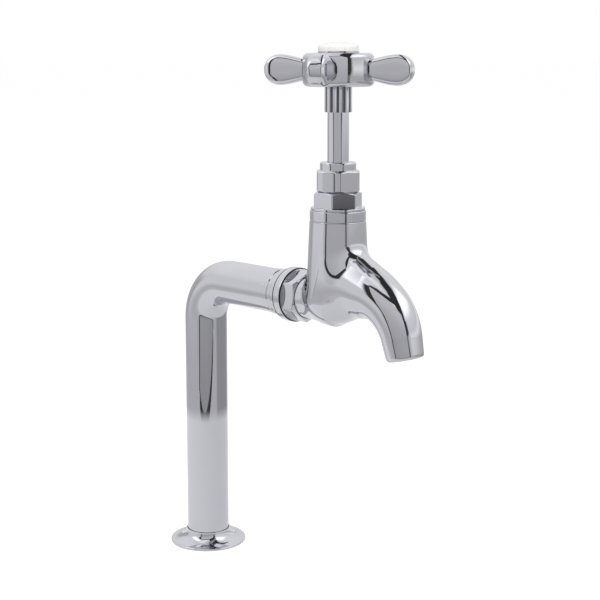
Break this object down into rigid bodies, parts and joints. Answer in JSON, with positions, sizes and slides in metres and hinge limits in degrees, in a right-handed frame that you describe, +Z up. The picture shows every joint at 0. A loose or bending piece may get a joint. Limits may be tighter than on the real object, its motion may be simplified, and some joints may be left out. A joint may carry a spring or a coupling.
{
  "type": "basin tap",
  "caption": "Bib tap on a bent stand pipe with a round foot flange, union nut, curved spout and cross handle with a white button.",
  "frame": {"origin": "middle of the stand pipe's foot, on the deck, at the mouth of the inlet thread", "axes": "+X along the horizontal arm towards the spout, +Z up"},
  "size_m": [0.1701, 0.0646, 0.2652],
  "materials": {
    "chrome": "polished",
    "brass": "machined",
    "rubber": "matte",
    "fibre": "pressed fibre",
    "ceramic": "glazed"
  },
  "bodies": {
    "body": {"foot_flange": "chrome", "foot_seal": "rubber", "flange_grip_ring": "rubber", "foot_bush": "brass", "stand_pipe": "chrome", "pipe_collar": "chrome", "union_tail": "brass", "union_washer": "fibre", "union_nut": "chrome", "tap_body": "chrome", "valve_seat": "brass", "bonnet_washer": "fibre", "bonnet": "chrome", "gland_washer": "brass", "gland_packing": "fibre", "gland_nut": "chrome"},
    "valve": {"jumper": "brass", "tap_washer": "rubber", "washer_nut": "brass"},
    "handle": {"spindle": "chrome", "handle_sleeve": "chrome", "handle_hub": "chrome", "handle_bush": "brass", "handle_arm_1": "chrome", "handle_arm_2": "chrome", "handle_arm_3": "chrome", "handle_arm_4": "chrome", "handle_screw": "brass", "index_ring": "chrome", "index_button": "ceramic"}
  },
  "joints": [
    {"name": "valve_lift", "type": "slide", "parent": "body", "child": "valve", "axis": [0, 0, 1], "range_m": [0, 0.00525]},
    {"name": "handle_turn", "type": "hinge", "parent": "valve", "child": "handle", "pos_m": [0.0981, 0, 0.25], "axis": [0, 0, 1], "range_deg": [0, 945]}
  ],
  "couplings": [
    {"joint": "valve_lift", "follows": "handle_turn", "m_per_rad": 0.00031831}
  ]
}
